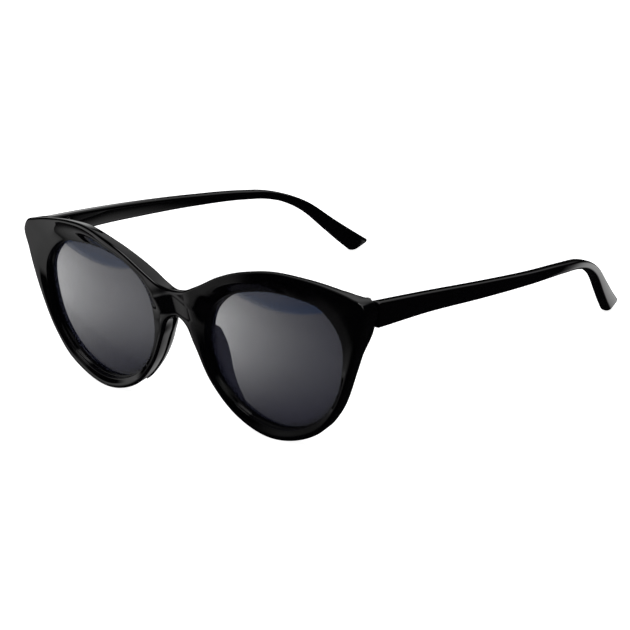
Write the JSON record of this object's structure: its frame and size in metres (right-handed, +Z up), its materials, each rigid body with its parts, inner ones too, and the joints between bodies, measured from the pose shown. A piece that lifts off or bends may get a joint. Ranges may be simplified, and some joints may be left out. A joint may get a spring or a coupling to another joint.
{
  "type": "cat eye sunglasses",
  "caption": "Gloss black cat eye sunglasses with upswept end pieces, round smoke grey lenses, moulded nose pads and temples that fold on screw hinges.",
  "frame": {"origin": "centre of the whole object's box in X and Y, on the surface that the rims and the temple tips stand on", "axes": "+X to the wearer's left across the front, +Y back along the open temples, +Z up; the front faces -Y"},
  "size_m": [0.1476, 0.1427, 0.0518],
  "materials": {
    "black_plastic": "polished black moulding",
    "smoke_lens": "polished, tinted smoke grey, see-through",
    "hinge_steel": "stamped and tumbled",
    "screw_steel": "turned, slotted head",
    "wire_steel": "drawn wire"
  },
  "bodies": {
    "front": {"front_frame": "black_plastic", "lens_left": "smoke_lens", "lens_right": "smoke_lens", "nose_pad_left": "black_plastic", "nose_pad_right": "black_plastic", "front_hinge_left": "hinge_steel", "front_hinge_right": "hinge_steel", "hinge_screw_left": "screw_steel", "hinge_screw_right": "screw_steel"},
    "temple_left": {"temple_left": "black_plastic", "temple_hinge_left": "hinge_steel", "core_wire_left": "wire_steel"},
    "temple_right": {"temple_right": "black_plastic", "temple_hinge_right": "hinge_steel", "core_wire_right": "wire_steel"}
  },
  "joints": [
    {"name": "temple_left_fold", "type": "hinge", "parent": "front", "child": "temple_left", "pos_m": [0.0659, -0.05759, 0.04217], "axis": [0, 0.0541, 0.9985], "range_deg": [0, 84.5]},
    {"name": "temple_right_fold", "type": "hinge", "parent": "front", "child": "temple_right", "pos_m": [-0.0659, -0.05759, 0.04217], "axis": [0, -0.0541, -0.9985], "range_deg": [0, 78]}
  ]
}
